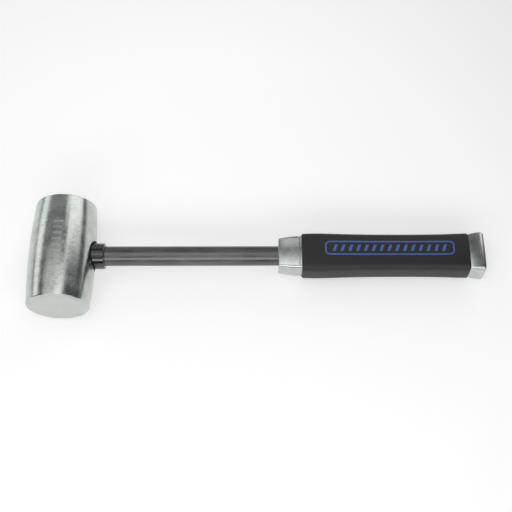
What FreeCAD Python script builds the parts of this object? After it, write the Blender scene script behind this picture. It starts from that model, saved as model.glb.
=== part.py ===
"""Dead blow mallet: a barrel head with two shot chambers on a straight shaft with a moulded grip.

Design frame, in millimetres: the origin is the point where the head's axis meets the shaft's axis.
+X runs along the shaft towards the butt, Y along the head's axis, and +Z out of the flat of the grip.
The finished pieces are then laid down on the XY plane, resting on the head's belly and the butt's rim.
"""

import FreeCAD
import Part
import math
import os

Vec = FreeCAD.Vector

# Head: a cast barrel, round about Y
belly_radius = 25.35
face_radius = 23.45
head_half_length = 41.85
face_edge_radius = 0.8
web_half = 13.5

# Chambers, bored from each end and closed by a plug
can_radius = 17.5
can_wall = 1.2
plug_radius = 19.0
plug_thickness = 8.0
plug_lead_in = 0.6
gasket_thickness = 1.0
plug_inner_y = head_half_length - plug_thickness
can_rim_y = plug_inner_y - gasket_thickness

# Steel shot, drawn as one settled block of balls in each chamber
ball_radius = 2.5
ball_pitch = 5.1
ball_layers = 3
layer_step = 4.2
ball_wall_gap = 0.15

# Raised bars cast on the top of the barrel
bar_count = 8
bar_pitch = 5.0
bar_length = 7.0
bar_width = 1.8
bar_height = 0.35

# Socket in the web, the black bush in it and the seal round its mouth
shaft_radius = 7.5
bush_radius = 10.0
bush_end_x = 33.0
bush_chamfer = 0.8
socket_bottom_x = -14.0
seal_radius = 11.7
seal_floor_x = 21.0
seal_proud = 0.25
head_pin_radius = 2.5

# Tubular shaft, which runs through the ferrule and the whole grip
tube_bore = 5.5
tube_end_x = 309.6

# Sections of the ferrule, the grip and the butt cap: place along X, half width in Y, half thickness in Z.
# Their four sides are slightly crowned: a crown is the angle a side has turned by where its corner starts.
broad_crown = 7.0
narrow_crown = 3.0
ferrule_sections = [(165.0, 12.3, 8.5), (170.0, 13.1, 8.95), (175.0, 13.7, 9.3), (180.4, 14.15, 9.6)]
ferrule_corner = 2.6
ferrule_edge = 0.7
groove_depth = 0.45
groove_end_x = 181.4
grip_front_x = 182.7
grip_sections = [
    (182.7, 15.9, 11.1),
    (195.5, 16.1, 11.25),
    (213.9, 15.6, 11.0),
    (232.3, 15.25, 10.7),
    (259.8, 15.1, 10.6),
    (287.4, 15.35, 10.7),
    (300.0, 15.75, 11.0),
    (309.6, 15.95, 11.15),
]
grip_corner = 4.6
grip_edge = 1.4
grip_rear_x = 309.6
butt_sections = [(309.6, 14.7, 10.0), (311.6, 15.35, 10.4), (315.5, 16.05, 10.95), (319.2, 16.4, 11.3)]
butt_corner = 2.6
butt_rim = [(320.2, 0.25), (320.9, 0.8), (321.3, 1.6)]
butt_end_x = 322.7

# Collar of the ferrule under the front of the grip, and its pin
collar_end_x = 196.7
collar_section = (10.2, 8.8)
collar_corner = 4.0
ferrule_pin_x = 189.7
small_pin_radius = 2.0

# Stem of the butt cap inside the tube, and its pin
stem_start_x = 286.0
stem_chamfer = 0.8
butt_pin_x = 297.0

# Stiff core under the rubber, from the collar to the butt cap
core_section = (12.0, 9.0)
core_corner = 4.0

# Spring pins are rolled strip with a slot
pin_wall_share = 0.36
pin_slot_share = 0.35

# Coloured outline and bars moulded into both flats of the grip
inlay_left_x = 200.3
inlay_right_x = 298.0
inlay_half_width = 5.9
inlay_corner = 3.6
inlay_line = 1.2
inlay_offset_y = 1.5
inlay_depth = 0.7
inlay_proud = 0.15
inlay_bar_count = 15
inlay_bar_pitch = 5.9
inlay_bar_width = 2.2
inlay_bar_half_height = 2.7
inlay_bar_lean = 1.0

along_x = Vec(1, 0, 0)
along_y = Vec(0, 1, 0)
along_z = Vec(0, 0, 1)


def rod_x(radius, start, end):
    return Part.makeCylinder(radius, end - start, Vec(start, 0, 0), along_x)


def rod_y(radius, start, end, x=0.0):
    return Part.makeCylinder(radius, end - start, Vec(x, start, 0), along_y)


def section(x, half_width, half_thickness, corner, crowned=True):
    """A rectangle across the shaft with rounded corners and crowned sides, as one smooth closed wire."""
    broad = math.radians(broad_crown) if crowned else 1e-3
    narrow = math.radians(narrow_crown) if crowned else 1e-3
    rise, bulge = math.tan(broad / 2), math.tan(narrow / 2)
    room_y, room_z = half_width - corner, half_thickness - corner
    corner_y = (room_y - bulge * room_z) / (1 - rise * bulge)
    corner_z = room_z - rise * corner_y

    def on_corner(sign_y, sign_z, angle):
        """A point of one corner's arc; the angle is measured from the Z axis towards the Y axis."""
        y = corner_y + corner * math.sin(angle)
        z = corner_z + corner * math.cos(angle)
        return Vec(x, sign_y * y, sign_z * z)

    ends = broad, (broad + math.pi / 2 - narrow) / 2, math.pi / 2 - narrow
    arcs = []
    for sign_y, sign_z in ((1, 1), (-1, 1), (-1, -1), (1, -1)):
        points = [on_corner(sign_y, sign_z, angle) for angle in ends]
        if sign_y * sign_z > 0:
            points.reverse()
        arcs.append(points)
    top, side = Vec(x, 0, half_thickness), Vec(x, half_width, 0)
    middles = [top, Vec(x, -half_width, 0), Vec(x, 0, -half_thickness), side]
    outline = []
    for number, points in enumerate(arcs):
        following = arcs[(number + 1) % 4][0]
        outline.append(Part.Arc(*points).toShape())
        outline.append(Part.Arc(points[-1], middles[number], following).toShape())
    return Part.Wire(outline)


def loft(sections, ruled=False, crowned=True):
    """A solid through sections given as (x, half width, half thickness, corner radius)."""
    return Part.makeLoft([section(*each, crowned) for each in sections], True, ruled)


def cornered(sections, corner):
    return [(x, w, t, corner) for x, w, t in sections]


def inset(each, amount, x=None):
    """The same section drawn in by an amount all round, and moved to x if one is given."""
    old_x, w, t, corner = each
    return (old_x if x is None else x, w - amount, t - amount, max(corner - amount, 0.6))


def block_x(start, end, half_sizes, corner):
    return loft([(x, half_sizes[0], half_sizes[1], corner) for x in (start, end)], True, False)


def barrel(extra=0.0, edge=0.0):
    """The head's outer form, grown by extra, with its two end edges rounded."""
    belly = belly_radius + extra
    face = face_radius + extra
    half = head_half_length
    outline = [
        Part.LineSegment(Vec(0, -half, 0), Vec(face, -half, 0)).toShape(),
        Part.Arc(Vec(face, -half, 0), Vec(belly, 0, 0), Vec(face, half, 0)).toShape(),
        Part.LineSegment(Vec(face, half, 0), Vec(0, half, 0)).toShape(),
        Part.LineSegment(Vec(0, half, 0), Vec(0, -half, 0)).toShape(),
    ]
    solid = Part.Face(Part.Wire(outline)).revolve(Vec(0, 0, 0), along_y, 360)
    if edge:
        rims = [
            e for e in solid.Edges
            if e.Length > 2 * math.pi * (face - 1) and abs(e.BoundBox.YLength) < 0.01
        ]
        solid = solid.makeFillet(edge, rims)
    return solid


def head_shell():
    shell = barrel(edge=face_edge_radius)
    skin = barrel(extra=bar_height)
    for number in range(bar_count):
        y = (number - (bar_count - 1) / 2) * bar_pitch
        corner = Vec(-bar_length / 2, y - bar_width / 2, belly_radius / 2)
        block = Part.makeBox(bar_length, bar_width, belly_radius, corner)
        shell = shell.fuse(block.common(skin))
    for side in (-1, 1):
        for radius, inner in ((can_radius, web_half), (plug_radius, can_rim_y)):
            start, end = sorted((side * inner, side * (head_half_length + 1)))
            shell = shell.cut(rod_y(radius, start, end))
    shell = shell.cut(rod_x(bush_radius, socket_bottom_x, belly_radius + 2))
    shell = shell.cut(rod_x(seal_radius, seal_floor_x, belly_radius + 2))
    shell = shell.cut(rod_y(head_pin_radius, -web_half, web_half))
    return shell.removeSplitter()


def face_plug(side):
    start, end = sorted((side * plug_inner_y, side * head_half_length))
    plug = rod_y(plug_radius, start, end)
    inner_edge = [
        e for e in plug.Edges
        if abs(e.BoundBox.YMin - side * plug_inner_y) < 0.01 and abs(e.BoundBox.YLength) < 0.01
    ]
    return plug.makeChamfer(plug_lead_in, inner_edge)


def plug_gasket(side):
    start, end = sorted((side * can_rim_y, side * plug_inner_y))
    return rod_y(plug_radius, start, end).cut(rod_y(can_radius - can_wall, start, end))


def shot_can(side):
    start, end = sorted((side * web_half, side * can_rim_y))
    inner_start, inner_end = sorted((side * (web_half + can_wall), side * (can_rim_y + 1)))
    return rod_y(can_radius, start, end).cut(rod_y(can_radius - can_wall, inner_start, inner_end))


def shot_charge(side):
    """Layers of balls on a triangular grid, every second layer set in the hollows of the last."""
    chamber_middle = (web_half + can_wall + plug_inner_y) / 2
    reach = can_radius - can_wall - ball_radius - ball_wall_gap
    rows = int(reach / ball_pitch) + 2
    balls = []
    for layer in range(ball_layers):
        y = side * (chamber_middle + (layer - (ball_layers - 1) / 2) * layer_step)
        shift = (layer % 2) * ball_pitch / math.sqrt(3)
        for row in range(-rows, rows + 1):
            z = row * ball_pitch * math.sqrt(3) / 2 + shift
            for column in range(-rows, rows + 1):
                x = (column + (row % 2) / 2) * ball_pitch
                if math.hypot(x, z) <= reach:
                    balls.append(Part.makeSphere(ball_radius, Vec(x, y, z)))
    return Part.Compound(balls)


def spring_pin(radius, half_length, x):
    """A slotted pin across the shaft, along Y."""
    pin = rod_y(radius, -half_length, half_length, x)
    pin = pin.cut(rod_y(radius * (1 - pin_wall_share), -half_length, half_length, x))
    slot = radius * pin_slot_share
    cutter = Part.makeBox(slot, 2 * half_length, 2 * radius, Vec(x - slot / 2, -half_length, 0))
    return pin.cut(cutter)


def shaft_bush():
    bush = rod_x(bush_radius, socket_bottom_x, bush_end_x)
    mouth = [
        e for e in bush.Edges
        if abs(e.BoundBox.XMin - bush_end_x) < 0.01 and abs(e.BoundBox.XLength) < 0.01
    ]
    bush = bush.makeChamfer(bush_chamfer, mouth)
    bush = bush.cut(rod_x(shaft_radius, socket_bottom_x, bush_end_x))
    return bush.cut(rod_y(head_pin_radius, -web_half, web_half))


def socket_seal():
    ring = rod_x(seal_radius, seal_floor_x, belly_radius + 2).common(barrel(extra=seal_proud))
    return ring.cut(rod_x(bush_radius, seal_floor_x - 1, belly_radius + 3))


def shaft():
    tube = rod_x(shaft_radius, socket_bottom_x, tube_end_x)
    tube = tube.cut(rod_x(tube_bore, socket_bottom_x, tube_end_x))
    small_holes = [(ferrule_pin_x, small_pin_radius), (butt_pin_x, small_pin_radius)]
    for x, radius in [(0.0, head_pin_radius)] + small_holes:
        tube = tube.cut(rod_y(radius, -shaft_radius - 1, shaft_radius + 1, x))
    return tube


def ferrule():
    front, second, *rest = cornered(ferrule_sections, ferrule_corner)
    share = ferrule_edge / (second[0] - front[0])
    behind_edge = tuple(a + (b - a) * share for a, b in zip(front, second))
    last = rest[-1]
    lip = loft([inset(behind_edge, ferrule_edge, front[0]), behind_edge], True)
    cone = loft([behind_edge, second] + rest)
    groove = loft([inset(last, groove_depth, x) for x in (last[0], groove_end_x)], True)
    band = loft([inset(last, -0.1, x) for x in (groove_end_x, grip_front_x)], True)
    collar = block_x(grip_front_x, collar_end_x, collar_section, collar_corner)
    body = lip.fuse([cone, groove, band, collar])
    body = body.cut(rod_x(shaft_radius, front[0] - 1, collar_end_x + 1))
    reach = collar_section[0] + 1
    return body.cut(rod_y(small_pin_radius, -reach, reach, ferrule_pin_x))


def butt_cap():
    flare = cornered(butt_sections, butt_corner)
    rim = [flare[-1]] + [inset(flare[-1], step, x) for x, step in butt_rim]
    face = rim[-1]
    rise = butt_end_x - face[0]
    dome_radius = (face[1] ** 2 + rise ** 2) / (2 * rise)
    dome = loft([face, inset(face, 0.0, butt_end_x + 1)], True)
    dome = dome.common(Part.makeSphere(dome_radius, Vec(butt_end_x - dome_radius, 0, 0)))
    stem = rod_x(tube_bore, stem_start_x, grip_rear_x)
    tip = [e for e in stem.Edges if abs(e.BoundBox.XMax - stem_start_x) < 0.01]
    body = loft(flare).fuse([loft(rim, True), dome, stem.makeChamfer(stem_chamfer, tip)])
    return body.cut(rod_y(small_pin_radius, -tube_bore - 1, tube_bore + 1, butt_pin_x))


def grip_core():
    core = block_x(collar_end_x, grip_rear_x, core_section, core_corner)
    return core.cut(rod_x(shaft_radius, collar_end_x, grip_rear_x))


def grip_form(grow=0.0):
    """The grip's outer form, with its two end edges broken."""
    sections = cornered(grip_sections, grip_corner)
    first, last = sections[0], sections[-1]
    sections[0] = inset(first, 0.0, first[0] + grip_edge)
    sections[-1] = inset(last, 0.0, last[0] - grip_edge)
    body = loft([inset(each, -grow) for each in sections])
    if grow:
        return body
    front = loft([inset(first, grip_edge * 0.7), sections[0]], True)
    rear = loft([sections[-1], inset(last, grip_edge)], True)
    return body.fuse([front, rear])


def badge_block(left, right, half_width, corner, side):
    """An upright block with rounded corners, centred on the inlay's line, on one flat of the grip."""
    height = grip_sections[1][2] * 2
    low = 0 if side > 0 else -height
    block = Part.makeBox(
        right - left, 2 * half_width, height, Vec(left, inlay_offset_y - half_width, low)
    )
    uprights = [e for e in block.Edges if e.BoundBox.ZLength > height / 2]
    return block.makeFillet(corner, uprights)


def inlay_bars(side):
    """A row of plain leaning bars inside the outline."""
    height = grip_sections[1][2] * 2
    low = 0 if side > 0 else -height
    bars = []
    for number in range(inlay_bar_count):
        x = (inlay_left_x + inlay_right_x) / 2 + (number - (inlay_bar_count - 1) / 2) * inlay_bar_pitch
        corners = [
            Vec(x + lean * inlay_bar_lean + edge * inlay_bar_width / 2,
                inlay_offset_y + lean * inlay_bar_half_height, low)
            for edge, lean in ((-1, -1), (1, -1), (1, 1), (-1, 1), (-1, -1))
        ]
        bars.append(Part.Face(Part.makePolygon(corners)).extrude(Vec(0, 0, height)))
    return bars


def grip_and_inlays():
    outer = grip_form()
    proud = grip_form(grow=inlay_proud)
    below = grip_form(grow=-inlay_depth)
    skin = proud.cut(below)
    inlays = {}
    for name, side in (("upper", 1), ("lower", -1)):
        ring = badge_block(inlay_left_x, inlay_right_x, inlay_half_width, inlay_corner, side)
        ring = ring.cut(badge_block(
            inlay_left_x + inlay_line, inlay_right_x - inlay_line,
            inlay_half_width - inlay_line, inlay_corner - inlay_line, side,
        ))
        inlays[name + "_inlay_outline"] = skin.common(ring)
        bars = [skin.common(bar).Solids[0] for bar in inlay_bars(side)]
        inlays[name + "_inlay_bars"] = Part.Compound(bars)
    rubber = outer.cut(block_x(grip_front_x - 1, collar_end_x, collar_section, collar_corner))
    rubber = rubber.cut(block_x(collar_end_x, grip_rear_x + 1, core_section, core_corner))
    for inlay in inlays.values():
        rubber = rubber.cut(inlay)
    return rubber, inlays


def all_pieces():
    pieces = {
        "head_shell": head_shell(),
        "head_pin": spring_pin(head_pin_radius, web_half, 0.0),
        "shaft_bush": shaft_bush(),
        "socket_seal": socket_seal(),
        "shaft": shaft(),
        "ferrule": ferrule(),
        "ferrule_pin": spring_pin(small_pin_radius, collar_section[0] - 0.2, ferrule_pin_x),
        "grip_core": grip_core(),
        "butt_cap": butt_cap(),
        "butt_pin": spring_pin(small_pin_radius, shaft_radius - 0.4, butt_pin_x),
    }
    for name, side in (("near", -1), ("far", 1)):
        pieces[name + "_face_plug"] = face_plug(side)
        pieces[name + "_plug_gasket"] = plug_gasket(side)
        pieces[name + "_shot_can"] = shot_can(side)
        pieces[name + "_shot_charge"] = shot_charge(side)
    pieces["grip_rubber"], inlays = grip_and_inlays()
    pieces.update(inlays)
    return pieces


def laid_down(pieces):
    """Tips the mallet about the head's axis until the butt touches, then stands it on z = 0, centred in X."""
    rim_x, _, rim_t = butt_sections[-1]
    tilt = math.asin(belly_radius / math.hypot(rim_x, rim_t)) - math.atan2(rim_t, rim_x)
    turn = FreeCAD.Placement(Vec(0, 0, 0), FreeCAD.Rotation(along_y, math.degrees(tilt)))
    turned = {name: shape.transformed(turn.toMatrix(), True) for name, shape in pieces.items()}
    reach = turned["butt_cap"].optimalBoundingBox(False, False).XMax
    shift = FreeCAD.Placement(Vec((belly_radius - reach) / 2, 0, belly_radius), FreeCAD.Rotation())
    print("tilt", round(math.degrees(tilt), 4), "deg; head axis at x =", round((belly_radius - reach) / 2, 3))
    return {name: shape.transformed(shift.toMatrix(), True) for name, shape in turned.items()}


os.makedirs("parts", exist_ok=True)
for node, piece in laid_down(all_pieces()).items():
    box = piece.optimalBoundingBox(False, False)
    print(
        node, "valid", piece.isValid(), "solids", len(piece.Solids), "cm3", round(piece.Volume / 1000, 3),
        "box", [round(v, 2) for v in (box.XMin, box.YMin, box.ZMin, box.XMax, box.YMax, box.ZMax)],
    )
    piece.exportStep(os.path.join("parts", node + ".step"))
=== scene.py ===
import math

import bmesh
import bpy
from mathutils import Matrix, Vector


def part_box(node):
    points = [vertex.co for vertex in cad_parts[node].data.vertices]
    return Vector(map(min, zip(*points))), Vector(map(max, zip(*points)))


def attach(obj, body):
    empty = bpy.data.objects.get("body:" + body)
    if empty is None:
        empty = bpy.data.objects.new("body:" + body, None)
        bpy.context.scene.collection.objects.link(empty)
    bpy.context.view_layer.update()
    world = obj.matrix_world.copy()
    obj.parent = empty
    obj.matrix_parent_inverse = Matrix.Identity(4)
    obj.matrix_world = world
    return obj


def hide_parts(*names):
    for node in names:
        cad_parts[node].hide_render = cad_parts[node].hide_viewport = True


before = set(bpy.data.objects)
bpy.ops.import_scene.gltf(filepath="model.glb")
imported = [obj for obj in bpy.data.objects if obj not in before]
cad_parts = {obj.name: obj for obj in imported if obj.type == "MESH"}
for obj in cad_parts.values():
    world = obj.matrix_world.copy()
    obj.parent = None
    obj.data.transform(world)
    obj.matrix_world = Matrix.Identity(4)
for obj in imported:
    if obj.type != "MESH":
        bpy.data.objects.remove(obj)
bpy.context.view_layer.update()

print("frame loaded,", len(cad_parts), "CAD nodes")

# everything is modelled with the head's middle at the origin and the shaft along +X, in millimetres
# times mm, and finishPiece lays it down where the CAD mallet lies
mm = 0.001
# sides of a turned shape: the head, ordinary pieces, small sockets and rings, the stem, and pin holes
sides = {"head": 160, "piece": 128, "ring": 96, "stem": 64, "pin": 32}
# pins through the shaft, as (distance from the head's middle, radius)
pins = {"head": (0.0, 2.5), "ferrule": (189.7, 2.0), "butt": (297.0, 2.0)}
mergeGap = 0.002


def middleOf(node):
    low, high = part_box(node)
    return (low + high) / 2


headMiddle = middleOf("near_face_plug")
headMiddle.y = 0.0
farPin = middleOf("butt_pin")
shaftSlope = math.atan2(headMiddle.z - farPin.z, farPin.x - headMiddle.x)
print("shaft slopes down", round(math.degrees(shaftSlope), 3), "degrees")


# small tools for modelling

def pickNothing():
    if bpy.context.object and bpy.context.object.mode != "OBJECT":
        bpy.ops.object.mode_set(mode="OBJECT")
    bpy.ops.object.select_all(action="DESELECT")


def pickOnly(piece):
    pickNothing()
    piece.select_set(True)
    bpy.context.view_layer.objects.active = piece


def placeApplied(piece, turn=(0, 0, 0), place=(0, 0, 0)):
    pickOnly(piece)
    piece.rotation_euler = turn
    piece.location = place
    bpy.ops.object.transform_apply(location=True, rotation=True, scale=True)


def startRound(name, x, radius, count=sides["piece"], filled=True):
    pickNothing()
    bpy.ops.mesh.primitive_circle_add(
        vertices=count, radius=radius * mm, fill_type="NGON" if filled else "NOTHING",
        location=(x * mm, 0, 0), rotation=(0, math.pi / 2, 0))
    piece = bpy.context.object
    piece.name = piece.data.name = name
    bpy.ops.object.transform_apply(location=True, rotation=True, scale=True)
    bpy.ops.object.mode_set(mode="EDIT")
    bpy.ops.mesh.select_all(action="SELECT")
    return piece


# rounded rectangle with crowned sides; a crown is the angle, in degrees, where a side meets its corner
def crownedOutline(halfWidth, halfThick, corner, crowns, steps):
    broad, narrow = (math.radians(angle) for angle in crowns)
    rise, bulge = math.tan(broad / 2), math.tan(narrow / 2)
    roomY, roomZ = halfWidth - corner, halfThick - corner
    cornerY = (roomY - bulge * roomZ) / (1 - rise * bulge)
    cornerZ = roomZ - rise * cornerY
    quarter = []
    sweep = corner + cornerY / math.sin(broad)
    for step in range(steps):
        angle = broad * step / steps
        quarter.append((sweep * math.sin(angle), halfThick - sweep * (1 - math.cos(angle))))
    for step in range(steps + 1):
        angle = broad + (math.pi / 2 - broad - narrow) * step / steps
        quarter.append((cornerY + corner * math.sin(angle), cornerZ + corner * math.cos(angle)))
    sweep = corner + cornerZ / math.sin(narrow)
    for step in range(1, steps // 2 + 1):
        angle = narrow * (1 - step / (steps // 2))
        quarter.append((halfWidth - sweep * (1 - math.cos(angle)), sweep * math.sin(angle)))
    half = quarter + [(y, -z) for y, z in reversed(quarter[:-1])]
    return half + [(-y, z) for y, z in reversed(half[1:-1])]


def startSquare(name, x, halfWidth, halfThick, corner, crowns=(7.0, 3.0), steps=8):
    outline = crownedOutline(halfWidth, halfThick, corner, crowns, steps)
    piece = startRound(name, x, 10, len(outline))
    mesh = bmesh.from_edit_mesh(piece.data)
    mesh.verts.ensure_lookup_table()
    for point, (y, z) in zip(mesh.verts, outline):
        point.co = Vector((x, y, z)) * mm
    bmesh.update_edit_mesh(piece.data)
    bpy.ops.mesh.select_all(action="SELECT")
    return piece


# pulls the picked end from each section to the next; a section is (x, size) or (x, width, thickness)
def pullThrough(sections):
    full = [(s[0], s[1], s[-1]) for s in sections]
    for (x0, w0, t0), (x1, w1, t1) in zip(full, full[1:]):
        bpy.ops.mesh.extrude_region_move(TRANSFORM_OT_translate={"value": ((x1 - x0) * mm, 0, 0)})
        if (w0, t0) != (w1, t1):
            bpy.ops.transform.resize(value=(1, w1 / w0, t1 / t0), center_override=(x1 * mm, 0, 0))


def closeUp(piece):
    bpy.ops.mesh.select_all(action="SELECT")
    bpy.ops.mesh.remove_doubles(threshold=mergeGap * mm)
    bpy.ops.mesh.normals_make_consistent(inside=False)
    bpy.ops.object.mode_set(mode="OBJECT")
    return piece


def roundSolid(name, sections, count=sides["piece"]):
    piece = startRound(name, sections[0][0], sections[0][1], count)
    pullThrough(sections)
    return closeUp(piece)


def roundTube(name, sections, count=sides["piece"]):
    piece = startRound(name, sections[0][0], sections[0][1], count, filled=False)
    pullThrough(sections)
    bpy.ops.mesh.select_all(action="DESELECT")
    bpy.ops.mesh.select_mode(type="EDGE")
    bpy.ops.mesh.select_non_manifold()
    bpy.ops.mesh.bridge_edge_loops()
    return closeUp(piece)


def squareSolid(name, sections, corner, crowns=(7.0, 3.0)):
    piece = startSquare(name, *sections[0], corner, crowns)
    pullThrough(sections)
    return closeUp(piece)


def carve(piece, tool, how="DIFFERENCE"):
    pickOnly(piece)
    cut = piece.modifiers.new("carve", "BOOLEAN")
    cut.operation = how
    cut.object = tool
    cut.solver = "EXACT"
    bpy.ops.object.modifier_apply(modifier=cut.name)
    bpy.data.objects.remove(tool, do_unlink=True)
    return piece


# quarter-round steps from a face to a side, as (distance along, distance in)
def roundedEdge(radius, steps=5):
    angles = [math.pi / 2 * step / steps for step in range(steps + 1)]
    return [(radius * (1 - math.sin(angle)), radius * (1 - math.cos(angle))) for angle in reversed(angles)]


# an even, smooth run of sections through the given ones
def smoothRun(sections, gap):
    xs = [s[0] for s in sections]

    def tangent(index, column):
        low, high = max(index - 1, 0), min(index + 1, len(sections) - 1)
        return (sections[high][column] - sections[low][column]) / (xs[high] - xs[low])

    run = []
    for index in range(len(sections) - 1):
        span = xs[index + 1] - xs[index]
        count = max(1, round(span / gap))
        for step in range(count):
            share = step / count
            values = []
            for column in range(1, len(sections[0])):
                a, b = sections[index][column], sections[index + 1][column]
                slopeA, slopeB = tangent(index, column) * span, tangent(index + 1, column) * span
                values.append(
                    (2 * share ** 3 - 3 * share ** 2 + 1) * a + (share ** 3 - 2 * share ** 2 + share) * slopeA
                    + (3 * share ** 2 - 2 * share ** 3) * b + (share ** 3 - share ** 2) * slopeB)
            run.append((xs[index] + share * span, *values))
    return run + [tuple(sections[-1])]


def shadeWell(piece, angle=32):
    pickOnly(piece)
    bpy.ops.object.shade_smooth_by_angle(angle=math.radians(angle))
    even = piece.modifiers.new("even", "WEIGHTED_NORMAL")
    even.keep_sharp = True
    bpy.ops.object.modifier_apply(modifier=even.name)


def finishPiece(piece, material, node, body="mallet", angle=32):
    placeApplied(piece, turn=(0, shaftSlope, 0), place=headMiddle)
    shadeWell(piece, angle)
    piece.data.materials.clear()
    piece.data.materials.append(material)
    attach(piece, body)
    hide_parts(node)
    print("made", piece.name, "with", len(piece.data.polygons), "faces")


# small tools for materials

def newMaterial(name):
    material = bpy.data.materials.new(name)
    material.use_nodes = True
    nodes = material.node_tree.nodes
    nodes.clear()
    output = nodes.new("ShaderNodeOutputMaterial")
    shader = nodes.new("ShaderNodeBsdfPrincipled")
    material.node_tree.links.new(shader.outputs["BSDF"], output.inputs["Surface"])
    return material, shader


def addNode(material, kind, inputs=None, **settings):
    node = material.node_tree.nodes.new(kind)
    for key, value in settings.items():
        setattr(node, key, value)
    for key, value in (inputs or {}).items():
        if isinstance(value, bpy.types.NodeSocket):
            material.node_tree.links.new(value, node.inputs[key])
        else:
            node.inputs[key].default_value = value
    return node


# object coordinates turned so that X runs along the shaft, and stretched if a pattern needs it
def shaftPlace(material, stretch=(1, 1, 1)):
    where = addNode(material, "ShaderNodeTexCoord")
    return addNode(material, "ShaderNodeMapping", {
        "Vector": where.outputs["Object"], "Rotation": (0, -shaftSlope, 0), "Scale": stretch,
    }).outputs["Vector"]


def noise(material, place, scale, detail=4, rough=0.5):
    return addNode(material, "ShaderNodeTexNoise", {
        "Vector": place, "Scale": scale, "Detail": detail, "Roughness": rough,
    }).outputs["Fac"]


def spread(material, value, low, high, outLow, outHigh):
    return addNode(material, "ShaderNodeMapRange", {
        "Value": value, "From Min": low, "From Max": high, "To Min": outLow, "To Max": outHigh,
    }).outputs["Result"]


def blendColours(material, value, colourA, colourB):
    node = addNode(material, "ShaderNodeMix", data_type="RGBA")
    links = material.node_tree.links
    links.new(value, node.inputs["Factor"])
    for key, colour in ((6, colourA), (7, colourB)):
        if isinstance(colour, bpy.types.NodeSocket):
            links.new(colour, node.inputs[key])
        else:
            node.inputs[key].default_value = (*colour, 1)
    return node.outputs[2]


def bump(material, height, strength, depth, normal=None):
    inputs = {"Height": height, "Strength": strength, "Distance": depth}
    if normal:
        inputs["Normal"] = normal
    return addNode(material, "ShaderNodeBump", inputs).outputs["Normal"]


def feed(material, shader, **sockets):
    names = {"colour": "Base Color", "roughness": "Roughness", "normal": "Normal"}
    for key, value in sockets.items():
        material.node_tree.links.new(value, shader.inputs[names[key]])


def castMetal(name, look):
    material, shader = newMaterial(name)
    shader.inputs["Metallic"].default_value = 1.0
    place = shaftPlace(material)
    swell = noise(material, place, look["swellScale"], 1, 0.4)
    cloud = noise(material, place, look["cloudScale"], 5, 0.55)
    grain = noise(material, place, look["grainScale"], 6, 0.65)
    skin = noise(material, place, look["skinScale"], 3, 0.5)
    mixed = addNode(material, "ShaderNodeMath", {0: cloud, 1: grain}, operation="ADD").outputs["Value"]
    tone = spread(material, mixed, 0.8, 1.2, 0.0, 1.0)
    colour = blendColours(material, tone, look["shade"], look["light"])
    low, high = look["roughness"]
    fog = spread(material, mixed, 0.85, 1.2, low, high)
    waved = bump(material, swell, look["swellStrength"], 1.0 * mm)
    normal = bump(material, skin, look["skinStrength"], 0.05 * mm, waved)
    feed(material, shader, colour=colour, roughness=fog, normal=normal)
    return material


headLook = {
    "shade": (0.43, 0.46, 0.44), "light": (0.60, 0.635, 0.61), "roughness": (0.17, 0.26),
    "swellScale": 45, "cloudScale": 110, "grainScale": 700, "skinScale": 620,
    "swellStrength": 0.08, "skinStrength": 1.0,
}
fittingLook = dict(
    headLook, shade=(0.48, 0.505, 0.49), light=(0.60, 0.625, 0.61), roughness=(0.22, 0.27), cloudScale=160,
    skinScale=700, swellStrength=0.12, skinStrength=0.02)
markLook = dict(headLook, shade=(0.46, 0.48, 0.47), light=(0.60, 0.62, 0.61), roughness=(0.30, 0.38))
faceLook = dict(
    headLook, shade=(0.52, 0.55, 0.53), light=(0.56, 0.59, 0.57), roughness=(0.20, 0.24),
    swellStrength=0.03, skinStrength=0.1)
headMetal = castMetal("headCasting", headLook)
faceMetal = castMetal("facePlugs", faceLook)
markMetal = castMetal("headMarks", markLook)
fittingMetal = castMetal("fittingCasting", fittingLook)


def darkShaft():
    look = {"dark": (0.10, 0.10, 0.101), "pale": (0.18, 0.18, 0.182), "roughness": (0.26, 0.4)}
    material, shader = newMaterial("darkSatinShaft")
    shader.inputs["Metallic"].default_value = 0.85
    drawn = noise(material, shaftPlace(material, (0.02, 1, 1)), 900, 5, 0.6)
    cloud = noise(material, shaftPlace(material, (0.3, 1, 1)), 120, 4, 0.5)
    mixed = addNode(material, "ShaderNodeMath", {0: drawn, 1: cloud}, operation="ADD").outputs["Value"]
    colour = blendColours(
        material, spread(material, mixed, 0.75, 1.25, 0, 1), look["dark"], look["pale"])
    fog = spread(material, mixed, 0.8, 1.2, *look["roughness"])
    feed(material, shader, colour=colour, roughness=fog, normal=bump(material, drawn, 0.2, 0.03 * mm))
    return material


def glossBlack():
    material, shader = newMaterial("glossBlackBush")
    shader.inputs["Specular IOR Level"].default_value = 0.7
    shader.inputs["Coat Weight"].default_value = 0.5
    shader.inputs["Coat Roughness"].default_value = 0.06
    place = shaftPlace(material)
    cloud = noise(material, place, 220, 4, 0.5)
    colour = blendColours(
        material, spread(material, cloud, 0.35, 0.65, 0, 1), (0.002, 0.002, 0.002), (0.004, 0.004, 0.004))
    feed(material, shader, colour=colour, roughness=spread(material, cloud, 0.35, 0.65, 0.10, 0.16),
         normal=bump(material, noise(material, place, 500, 3), 0.12, 0.02 * mm))
    return material


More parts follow.
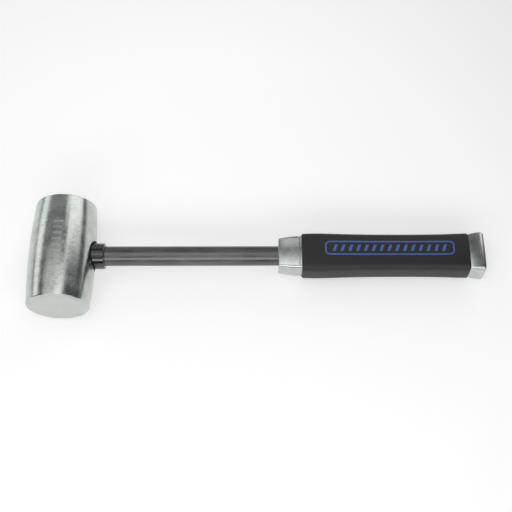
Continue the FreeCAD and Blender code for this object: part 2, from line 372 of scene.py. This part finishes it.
def blackRubber(name, dark, pale, grain, dullness=(0.62, 0.78), gloss=0.35):
    material, shader = newMaterial(name)
    shader.inputs["Specular IOR Level"].default_value = gloss
    place = shaftPlace(material)
    fine = noise(material, place, 2600, 4, 0.6)
    cloud = noise(material, place, 70, 5, 0.6)
    mixed = addNode(material, "ShaderNodeMath", {0: fine, 1: cloud}, operation="ADD").outputs["Value"]
    colour = blendColours(material, spread(material, mixed, 0.8, 1.2, 0, 1), dark, pale)
    feed(material, shader, colour=colour, roughness=spread(material, mixed, 0.8, 1.2, *dullness),
         normal=bump(material, fine, grain, 0.06 * mm))
    return material


def bluePlastic():
    material, shader = newMaterial("blueInlay")
    place = shaftPlace(material)
    cloud = noise(material, place, 900, 5, 0.6)
    colour = blendColours(
        material, spread(material, cloud, 0.35, 0.65, 0, 1), (0.060, 0.125, 0.39), (0.095, 0.175, 0.50))
    feed(material, shader, colour=colour, roughness=spread(material, cloud, 0.3, 0.7, 0.5, 0.65),
         normal=bump(material, cloud, 0.15, 0.03 * mm))
    return material


def plainSteel(name, dark, pale, roughness):
    material, shader = newMaterial(name)
    shader.inputs["Metallic"].default_value = 1.0
    grain = noise(material, shaftPlace(material), 1500, 5, 0.6)
    colour = blendColours(material, spread(material, grain, 0.35, 0.65, 0, 1), dark, pale)
    low, high = roughness
    feed(material, shader, colour=colour, roughness=spread(material, grain, 0.3, 0.7, low, high),
         normal=bump(material, grain, 0.1, 0.02 * mm))
    return material


shaftFinish = darkShaft()
bushFinish = glossBlack()
sealFinish = blackRubber("sealRubber", (0.003, 0.003, 0.003), (0.006, 0.006, 0.006), 0.2)
gripFinish = blackRubber("gripRubber", (0.014, 0.014, 0.014), (0.020, 0.020, 0.020), 0.35, (0.44, 0.54), 0.5)
inlayFinish = bluePlastic()
steelFinish = plainSteel("plainSteel", (0.42, 0.42, 0.43), (0.55, 0.55, 0.56), (0.25, 0.4))
gasketFinish = blackRubber("gasketRubber", (0.02, 0.02, 0.02), (0.03, 0.03, 0.03), 0.3)
coreFinish = blackRubber("corePlastic", (0.022, 0.022, 0.024), (0.03, 0.03, 0.033), 0.2)
print("materials made")


# the camera, placed from the shaft's line: degrees, millimetres

shot = {"elevation": 26.03, "along": 148.04, "distance": 720.0, "lens": 66.2, "roll": -0.09}


def makeCamera():
    rise = math.radians(shot["elevation"])
    lay = Matrix.Rotation(shaftSlope, 4, "Y")
    right = Vector((1, 0, 0))
    up = Vector((0, math.cos(rise), math.sin(rise)))
    back = Vector((0, -math.sin(rise), math.cos(rise)))
    turned = Matrix((right, up, back)).transposed().to_4x4()
    place = Vector((shot["along"] * mm, 0, 0)) + back * shot["distance"] * mm
    data = bpy.data.cameras.new("productCamera")
    data.lens = shot["lens"]
    data.sensor_width = 36
    data.clip_start = 0.01
    camera = bpy.data.objects.new("productCamera", data)
    bpy.context.scene.collection.objects.link(camera)
    roll = Matrix.Rotation(math.radians(shot["roll"]), 4, "Z")
    camera.matrix_world = (
        Matrix.Translation(headMiddle) @ lay @ Matrix.Translation(place) @ turned @ roll)
    bpy.context.scene.camera = camera


makeCamera()


# the head, in millimetres from its middle

head = {
    "belly": 25.35, "face": 23.45, "half": 41.85, "edge": 0.8,
    "chamber": 17.5, "web": 13.5, "seat": 19.0, "seatFloor": 32.85,
    "socket": 10.0, "socketFloor": -14.0, "sealSeat": 11.7, "sealFloor": 21.0,
    "marks": 8, "markPitch": 5.0, "markLength": 7.0, "markWidth": 1.8, "markHeight": 0.35,
    "markFloor": 22, "markTop": 30, "markCorner": 0.6, "markReach": 25, "markRise": 0.02,
    "socketMouth": 30, "pinSpare": 1,
}


# barrel radius at a distance along the head from its middle
def barrelRadius(along, extra=0.0):
    sag = head["belly"] - head["face"]
    arc = (head["half"] ** 2 + sag ** 2) / (2 * sag)
    return extra + head["belly"] - arc + math.sqrt(arc ** 2 - along ** 2)


def barrelSkin(extra=0.0, steps=40):
    half, edge = head["half"], head["edge"]
    rim = [(-half + along, barrelRadius(half - along, extra) - inward)
           for along, inward in roundedEdge(edge)]
    reach = half - edge
    middle = [(-reach + 2 * reach * step / steps, barrelRadius(-reach + 2 * reach * step / steps, extra))
              for step in range(1, steps)]
    return rim + middle + [(-along, radius) for along, radius in reversed(rim)]


def alongHead(piece):
    placeApplied(piece, turn=(0, 0, math.pi / 2))
    return piece


# a cutter for one of the pin holes, which all run along the head's axis
def pinTool(name, pin, reach):
    place, radius = pins[pin]
    hole = alongHead(roundSolid(name, [(-reach, radius), (reach, radius)], sides["pin"]))
    placeApplied(hole, place=(place * mm, 0, 0))
    return hole


def makeMarks():
    marks = []
    for number in range(head["marks"]):
        along = (number - (head["marks"] - 1) / 2) * head["markPitch"]
        pickNothing()
        # a mark starts inside the wall, clear of the chambers
        middle, height = (head["markFloor"] + head["markTop"]) / 2, head["markTop"] - head["markFloor"]
        bpy.ops.mesh.primitive_cube_add(size=1 * mm, location=(0, along * mm, middle * mm))
        mark = bpy.context.object
        mark.scale = (head["markLength"], head["markWidth"], height)
        bpy.ops.object.transform_apply(location=True, rotation=True, scale=True)
        bpy.ops.object.mode_set(mode="EDIT")
        mesh = bmesh.from_edit_mesh(mark.data)
        bpy.ops.mesh.select_all(action="DESELECT")
        for side in mesh.edges:
            a, b = (v.co for v in side.verts)
            side.select_set(abs(a.z - b.z) > 0.5 * height * mm)
        bmesh.update_edit_mesh(mark.data)
        bpy.ops.mesh.bevel(offset=head["markCorner"] * mm, segments=4, affect="EDGES")
        bpy.ops.object.mode_set(mode="OBJECT")
        marks.append(mark)
    pickNothing()
    for mark in marks:
        mark.select_set(True)
    bpy.context.view_layer.objects.active = marks[0]
    bpy.ops.object.join()
    skin = alongHead(roundSolid("markSkin", barrelSkin(head["markHeight"]), sides["head"]))
    return carve(marks[0], skin, "INTERSECT")


def makeHead():
    chamber, seat = head["chamber"], head["seat"]
    hollow = [(-head["web"], chamber), (-head["seatFloor"], chamber),
              (-head["seatFloor"], seat), (-head["half"], seat)]
    path = hollow + barrelSkin() + [(-x, radius) for x, radius in reversed(hollow)]
    barrel = alongHead(roundSolid("headBarrel", path, sides["head"]))
    socket = roundSolid("socketTool", [
        (head["socketFloor"], head["socket"]), (head["sealFloor"], head["socket"]),
        (head["sealFloor"], head["sealSeat"]), (head["socketMouth"], head["sealSeat"])], sides["ring"])
    carve(barrel, socket)
    carve(barrel, pinTool("pinTool", "head", head["web"] + head["pinSpare"]))
    carve(barrel, makeMarks(), "UNION")
    finishPiece(barrel, headMetal, "head_shell")
    barrel.data.materials.append(markMetal)
    for face in barrel.data.polygons:  # the raised marks are rubbed duller than the barrel round them
        out = face.center - headMiddle
        rise = math.hypot(out.x, out.z) / mm - barrelRadius(out.y / mm)
        marked = abs(out.y) < head["markReach"] * mm and rise > head["markRise"]
        face.material_index = 1 if marked else 0


makeHead()


def makeSeal():
    seal = {"outer": 11.7, "inner": 10.0, "floor": 21.0, "mouth": 29, "proud": 0.25}
    ring = roundTube("socketSealRing", [
        (seal["floor"], seal["outer"]), (seal["mouth"], seal["outer"]),
        (seal["mouth"], seal["inner"]), (seal["floor"], seal["inner"])], sides["ring"])
    skin = alongHead(roundSolid("sealSkin", barrelSkin(seal["proud"]), sides["head"]))
    finishPiece(carve(ring, skin, "INTERSECT"), sealFinish, "socket_seal")


makeSeal()


# the bush and the shaft

bush = {
    "radius": 10.0, "bore": 7.5, "floor": -14.0, "end": 33.0, "edge": 0.8,
    "plainEnd": 20, "boreEdge": 0.25, "pinReach": 11,
}


def makeBush():
    radius, bore, end, edge = bush["radius"], bush["bore"], bush["end"], bush["boreEdge"]
    rim = [(end - along, radius - inward) for along, inward in reversed(roundedEdge(bush["edge"]))]
    path = [(bush["floor"], radius), (bush["plainEnd"], radius)] + rim
    path += [(end, bore + edge), (end - edge, bore), (bush["floor"], bore)]
    sleeve = roundTube("shaftBush", path)
    hole = pinTool("bushPinTool", "head", bush["pinReach"])
    finishPiece(carve(sleeve, hole), bushFinish, "shaft_bush")


makeBush()

shaft = {"radius": 7.5, "bore": 5.5, "start": -14.0, "end": 309.6, "edge": 0.3, "pinReach": 8.5}


def makeShaft():
    start, end, edge, radius = shaft["start"], shaft["end"], shaft["edge"], shaft["radius"]
    outside = [(start, radius - edge), (start + edge, radius),
               (end - edge, radius), (end, radius - edge)]
    tube = roundTube("shaftTube", outside + [(end, shaft["bore"]), (start, shaft["bore"])])
    for pin in pins:
        carve(tube, pinTool("shaftPinTool", pin, shaft["pinReach"]))
    finishPiece(tube, shaftFinish, "shaft")


makeShaft()


# the ferrule; a section is (x, half width, half thickness)

ferrule = {
    "sections": [(165.0, 12.3, 8.5), (170.0, 13.1, 8.95), (175.0, 13.7, 9.3), (180.4, 14.15, 9.6)],
    "corner": 2.6, "edge": 0.7, "groove": 0.45, "grooveEnd": 181.4, "end": 182.7,
    "collar": (10.2, 8.8), "collarEnd": 196.7, "bore": ((160, 7.5), (200, 7.5)),
    "gap": 1.2, "grooveIn": 0.1, "grooveOut": 0.15, "beadStart": 0.35, "bead": 0.1,
}


def makeFerrule():
    first, last = ferrule["sections"][0], ferrule["sections"][-1]
    body = smoothRun(ferrule["sections"], ferrule["gap"])
    lip = [(first[0] + along, first[1] - inward, first[2] - inward)
           for along, inward in roundedEdge(ferrule["edge"])]
    path = lip + [section for section in body if section[0] > first[0] + ferrule["edge"]]
    groove, grooveEnd, bead = ferrule["groove"], ferrule["grooveEnd"], ferrule["bead"]
    path += [(last[0] + ferrule["grooveIn"], last[1] - groove, last[2] - groove),
             (grooveEnd, last[1] - groove, last[2] - groove),
             (grooveEnd + ferrule["grooveOut"], last[1], last[2]),
             (grooveEnd + ferrule["beadStart"], last[1] + bead, last[2] + bead),
             (ferrule["end"], last[1] + bead, last[2] + bead),
             (ferrule["end"], *ferrule["collar"]), (ferrule["collarEnd"], *ferrule["collar"])]
    piece = squareSolid("ferruleCasting", path, ferrule["corner"])
    carve(piece, roundSolid("ferruleBore", ferrule["bore"]))
    finishPiece(piece, fittingMetal, "ferrule")


makeFerrule()


# the grip with its inlays

grip = {
    "sections": [
        (182.7, 15.9, 11.1), (195.5, 16.1, 11.25), (213.9, 15.6, 11.0), (232.3, 15.25, 10.7),
        (259.8, 15.1, 10.6), (287.4, 15.35, 10.7), (300.0, 15.75, 11.0), (309.6, 15.95, 11.15)],
    "corner": 4.6, "edge": 1.4, "collar": (10.2, 8.8), "collarEnd": 196.7, "core": (12.0, 9.0),
    "gap": 3.0, "hollowCorner": 3.8, "hollowCrowns": (0.1, 0.1), "spare": 1,
}


def gripPath(grow=0.0):
    first, last = grip["sections"][0], grip["sections"][-1]
    body = [(x, w + grow, t + grow) for x, w, t in smoothRun(grip["sections"], grip["gap"])]
    if grow:
        return body
    edge = grip["edge"]
    corner = roundedEdge(edge)
    front = [(first[0] + along, first[1] - inward, first[2] - inward) for along, inward in corner]
    rear = [(last[0] - along, last[1] - inward, last[2] - inward)
            for along, inward in reversed(corner)]
    return front + [s for s in body if first[0] + edge < s[0] < last[0] - edge] + rear


def gripSkin(name, grow):
    return squareSolid(name, gripPath(grow), grip["corner"] + grow)


badge = {
    "left": 200.3, "right": 298.0, "half": 5.9, "line": 1.2, "offset": 1.5, "corner": 3.6,
    "deep": 0.7, "proud": 0.15, "bars": 15, "pitch": 5.9, "barWidth": 2.2, "barHalf": 2.7,
    "barCorner": 0.35, "lean": 1.0, "height": 8, "tall": 12, "hollowStretch": 1.2,
    "insideStretch": 1.02, "gripMiddle": 246,
}


# an upright block with rounded corners, on one flat of the grip
def uprightBlock(name, left, right, half, corner, side):
    pickNothing()
    bpy.ops.mesh.primitive_cube_add(size=1 * mm, location=(
        (left + right) / 2 * mm, badge["offset"] * mm, side * badge["height"] * mm))
    block = bpy.context.object
    block.name = block.data.name = name
    block.scale = (right - left, 2 * half, badge["tall"])
    bpy.ops.object.transform_apply(location=True, rotation=True, scale=True)
    bpy.ops.object.mode_set(mode="EDIT")
    mesh = bmesh.from_edit_mesh(block.data)
    bpy.ops.mesh.select_all(action="DESELECT")
    for line in mesh.edges:
        a, b = (v.co for v in line.verts)
        line.select_set(abs(a.z - b.z) > 0.5 * badge["tall"] * mm)
    bmesh.update_edit_mesh(block.data)
    bpy.ops.mesh.bevel(offset=corner * mm, segments=8, affect="EDGES")
    bpy.ops.object.mode_set(mode="OBJECT")
    return block


def inlayShell(name):
    shell = gripSkin(name, badge["proud"])
    inside = gripSkin(name + "Inside", -badge["deep"])
    pickOnly(inside)
    bpy.ops.object.mode_set(mode="EDIT")
    bpy.ops.mesh.select_all(action="SELECT")
    bpy.ops.transform.resize(
        value=(badge["insideStretch"], 1, 1), center_override=(badge["gripMiddle"] * mm, 0, 0))
    bpy.ops.object.mode_set(mode="OBJECT")
    return carve(shell, inside)


def makeOutline(name, side):
    line = badge["line"]
    block = uprightBlock(name, badge["left"], badge["right"], badge["half"], badge["corner"], side)
    hollow = uprightBlock(
        "hollowTool", badge["left"] + line, badge["right"] - line,
        badge["half"] - line, badge["corner"] - line, side)
    pickOnly(hollow)
    bpy.ops.object.mode_set(mode="EDIT")
    bpy.ops.mesh.select_all(action="SELECT")
    bpy.ops.transform.resize(
        value=(1, 1, badge["hollowStretch"]), center_override=(0, 0, side * badge["height"] * mm))
    bpy.ops.object.mode_set(mode="OBJECT")
    carve(block, hollow)
    return carve(block, inlayShell("outlineShell"), "INTERSECT")


def makeBars(name, side):
    bars = []
    middle = (badge["left"] + badge["right"]) / 2
    for number in range(badge["bars"]):
        x = middle + (number - (badge["bars"] - 1) / 2) * badge["pitch"]
        bar = uprightBlock(
            name, x - badge["barWidth"] / 2, x + badge["barWidth"] / 2,
            badge["barHalf"], badge["barCorner"], side)
        for corner in bar.data.vertices:
            corner.co.x += (corner.co.y - badge["offset"] * mm) / badge["barHalf"] * badge["lean"]
        bars.append(bar)
    pickNothing()
    for bar in bars:
        bar.select_set(True)
    bpy.context.view_layer.objects.active = bars[0]
    bpy.ops.object.join()
    bars[0].name = bars[0].data.name = name
    return carve(bars[0], inlayShell("barShell"), "INTERSECT")


def copyOf(piece, name):
    twin = piece.copy()
    twin.data = piece.data.copy()
    twin.name = twin.data.name = name
    bpy.context.scene.collection.objects.link(twin)
    return twin


def makeGrip():
    rubber = squareSolid("gripRubberSleeve", gripPath(), grip["corner"])
    start, end = grip["sections"][0][0], grip["sections"][-1][0]
    hollow = squareSolid("gripHollow", [
        (start - grip["spare"], *grip["collar"]), (grip["collarEnd"], *grip["collar"]),
        (grip["collarEnd"], *grip["core"]), (end + grip["spare"], *grip["core"])],
        grip["hollowCorner"], crowns=grip["hollowCrowns"])
    carve(rubber, hollow)
    inlays = []
    for label, side in (("upper", 1), ("lower", -1)):
        outline = makeOutline(label + "BadgeOutline", side)
        bars = makeBars(label + "BadgeBars", side)
        for piece in (outline, bars):
            carve(rubber, copyOf(piece, "inlayTool"))
        inlays += [(outline, label + "_inlay_outline"), (bars, label + "_inlay_bars")]
    finishPiece(rubber, gripFinish, "grip_rubber")
    for piece, node in inlays:
        finishPiece(piece, inlayFinish, node)


makeGrip()


# the butt cap

butt = {
    "sections": [(309.6, 14.7, 10.0), (311.6, 15.35, 10.4), (315.5, 16.05, 10.95), (319.2, 16.4, 11.3)],
    "corner": 2.6, "rim": [(320.2, 0.25), (320.9, 0.8), (321.3, 1.6)], "end": 322.7,
    "stemStart": 286.0, "stemEnd": 311, "stem": 5.5, "stemEdge": 0.8, "pinReach": 7, "gap": 1.2,
    "crownShares": (0.85, 0.65, 0.45, 0.25, 0.1),
}


def makeButt():
    last = butt["sections"][-1]
    path = smoothRun(butt["sections"], butt["gap"])
    path += [(x, last[1] - inward, last[2] - inward) for x, inward in butt["rim"]]
    faceX, faceW, faceT = path[-1]
    rise = butt["end"] - faceX
    ball = (faceW ** 2 + rise ** 2) / (2 * rise)
    for share in butt["crownShares"]:
        drop = ball - math.sqrt(ball ** 2 - (faceW * share) ** 2)
        path.append((butt["end"] - drop, faceW * share, faceT * share))
    piece = squareSolid("buttCasting", path, butt["corner"])
    edge = butt["stemEdge"]
    stem = roundSolid("buttStem", [
        (butt["stemStart"], butt["stem"] - edge), (butt["stemStart"] + edge, butt["stem"]),
        (butt["stemEnd"], butt["stem"])], sides["stem"])
    carve(piece, stem, "UNION")
    carve(piece, pinTool("buttPinTool", "butt", butt["pinReach"]))
    finishPiece(piece, fittingMetal, "butt_cap")


makeButt()


# loose shot, one block of balls in each chamber

balls = {"radius": 2.5, "pitch": 5.1, "layers": 3, "step": 4.2, "middle": 24.275, "reach": 13.65}


def makeShot(name, node, body, side):
    pickNothing()
    bpy.ops.mesh.primitive_ico_sphere_add(subdivisions=2, radius=balls["radius"] * mm)
    first = bpy.context.object
    group = []
    rows = int(balls["reach"] / balls["pitch"]) + 2
    for layer in range(balls["layers"]):
        along = side * (balls["middle"] + (layer - (balls["layers"] - 1) / 2) * balls["step"])
        shift = (layer % 2) * balls["pitch"] / math.sqrt(3)
        for row in range(-rows, rows + 1):
            up = row * balls["pitch"] * math.sqrt(3) / 2 + shift
            for column in range(-rows, rows + 1):
                across = (column + (row % 2) / 2) * balls["pitch"]
                if math.hypot(across, up) <= balls["reach"]:
                    ball = copyOf(first, "ball")
                    ball.location = Vector((across, along, up)) * mm
                    group.append(ball)
    bpy.data.objects.remove(first, do_unlink=True)
    pickNothing()
    for ball in group:
        ball.select_set(True)
    bpy.context.view_layer.objects.active = group[0]
    bpy.ops.object.join()
    charge = bpy.context.object
    charge.name = charge.data.name = name
    bpy.ops.object.transform_apply(location=True, rotation=True, scale=True)
    finishPiece(charge, steelFinish, node, body, angle=60)


makeShot("nearShot", "near_shot_charge", "near_shot", -1)
makeShot("farShot", "far_shot_charge", "far_shot", 1)


# CAD pieces that are kept, with their finishes

kept = {
    "near_face_plug": faceMetal, "far_face_plug": faceMetal,
    "near_plug_gasket": gasketFinish, "far_plug_gasket": gasketFinish,
    "near_shot_can": steelFinish, "far_shot_can": steelFinish,
    "head_pin": steelFinish, "ferrule_pin": steelFinish, "butt_pin": steelFinish,
    "grip_core": coreFinish,
}
for nodeName, finish in kept.items():
    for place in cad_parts[nodeName].material_slots:
        place.material = finish
print("finishes set on", len(kept), "CAD nodes")


# the floor, the world and the lights

studio = {
    # the floor glows faintly, a painted pool of light that fades from the first floorGlow to the second over
    # glowReach (metres)
    "floorSize": 6.0, "floorColour": (0.75, 0.75, 0.75),
    "floorGlow": (0.45, 0.22), "glowReach": (0.2, 0.7), "floorDim": 0.98, "paperScale": 40,
    "sky": (0.11, 0.11, 0.11), "skyStrength": 1.0, "power": 1.3,
    # place, aim, size (metres), brightness, the share of each side that fades out, and turn (degrees)
    "boxes": {
        "overheadBox": ((-0.03, 0.045, 0.54), (-0.03, 0.045, 0.0), (0.54, 0.24), 0.85, (0.42, 0.42), 32),
        "canopyBox": ((-0.34, 0.04, 0.62), (-0.34, 0.04, 0.0), (1.1, 0.7), 0.55, (0.35, 0.35), 0),
        "frontBox": ((0.08, -0.50, 0.335), (0.08, 0.0, 0.02), (1.3, 0.25), 2.1, (0.05, 0.2), 0),
        "cameraBox": ((0.12, -0.45, 1.11), (0.12, 0.0, 0.02), (1.5, 0.78), 0.5, (0.1, 0.1), 0),
        "leftBox": ((-0.656, 0.26, 0.20), (-0.149, 0.0, 0.03), (1.0, 0.36), 0.95, (0.1, 0.35), 0),
        "rightBox": ((0.50, 1.00, 0.76), (-0.149, 1.00, 0.76), (1.4, 1.5), 1.05, (0.24, 0.1), -14),
        "backBox": ((0.0, 0.38, 0.47), (0.03, 0.0, 0.03), (0.12, 0.22), 0.95, (0.4, 0.3), 0),
        "backPanel": ((-0.13, 0.55, 0.27), (-0.05, 0.0, 0.02), (0.3, 0.42), 0.4, (0.2, 0.2), 0),
        "ceilingBox": ((-0.46, 0.55, 0.62), (-0.46, 0.55, 0.0), (0.9, 0.7), 0.14, (0.1, 0.2), 0),
    },
}


def makeFloor():
    pickNothing()
    bpy.ops.mesh.primitive_plane_add(size=studio["floorSize"])
    floor = bpy.context.object
    floor.name = floor.data.name = "studioFloor"
    material, shader = newMaterial("paleFloor")
    paper = noise(
        material, addNode(material, "ShaderNodeTexCoord").outputs["Object"], studio["paperScale"], 4)
    dimmer = tuple(studio["floorDim"] * c for c in studio["floorColour"])
    shade = blendColours(material, paper, studio["floorColour"], dimmer)
    feed(material, shader, colour=shade)
    shader.inputs["Roughness"].default_value = 0.9
    shader.inputs["Specular IOR Level"].default_value = 0.1
    # painted light: the floor's emission glows brightest near its middle and fades outwards, lifting the
    # floor towards white and washing out the shadows
    shader.inputs["Emission Color"].default_value = (1, 1, 1, 1)
    reach = addNode(material, "ShaderNodeVectorMath", {
        0: addNode(material, "ShaderNodeTexCoord").outputs["Object"]}, operation="LENGTH")
    glow = spread(material, reach.outputs["Value"], *studio["glowReach"], *studio["floorGlow"])
    material.node_tree.links.new(glow, shader.inputs["Emission Strength"])
    floor.data.materials.append(material)


def makeWorld():
    world = bpy.data.worlds.new("studioWorld")
    world.use_nodes = True
    sky = world.node_tree.nodes["Background"]
    sky.inputs["Color"].default_value = (*studio["sky"], 1)
    sky.inputs["Strength"].default_value = studio["skyStrength"]
    bpy.context.scene.world = world


# a softbox that is even in the middle and fades towards its sides
def softenEdges(data, fades):
    data.use_nodes = True
    nodes, links = data.node_tree.nodes, data.node_tree.links
    where = nodes.new("ShaderNodeNewGeometry")
    apart = nodes.new("ShaderNodeSeparateXYZ")
    links.new(where.outputs["Parametric"], apart.inputs[0])
    both = nodes.new("ShaderNodeMath")
    both.operation = "MULTIPLY"
    for index, fade in enumerate(fades):
        edge = nodes.new("ShaderNodeMath")
        edge.operation = "PINGPONG"
        edge.inputs[1].default_value = 0.5
        links.new(apart.outputs[index], edge.inputs[0])
        ramp = nodes.new("ShaderNodeMapRange")
        ramp.interpolation_type = "SMOOTHSTEP"
        ramp.inputs["From Max"].default_value = fade
        links.new(edge.outputs[0], ramp.inputs["Value"])
        links.new(ramp.outputs["Result"], both.inputs[index])
    links.new(both.outputs[0], nodes["Emission"].inputs["Strength"])


def makeLights():
    for name, (place, aim, size, brightness, fades, turn) in studio["boxes"].items():
        data = bpy.data.lights.new(name, "AREA")
        data.shape = "RECTANGLE"
        data.size, data.size_y = size
        data.energy = studio["power"] * brightness * math.pi * size[0] * size[1]
        softenEdges(data, fades)
        back = (Vector(place) - Vector(aim)).normalized()
        side = Vector((1, 0, 0)) if back.z > 0.999 else Vector((0, 0, 1)).cross(back).normalized()
        side = Matrix.Rotation(math.radians(turn), 3, back) @ side
        turned = Matrix((side, back.cross(side), back)).transposed().to_4x4()
        light = bpy.data.objects.new(name, data)
        light.matrix_world = Matrix.Translation(place) @ turned
        bpy.context.scene.collection.objects.link(light)


makeFloor()
makeWorld()
makeLights()
bpy.context.scene.view_settings.view_transform = "Standard"
print("studio ready")
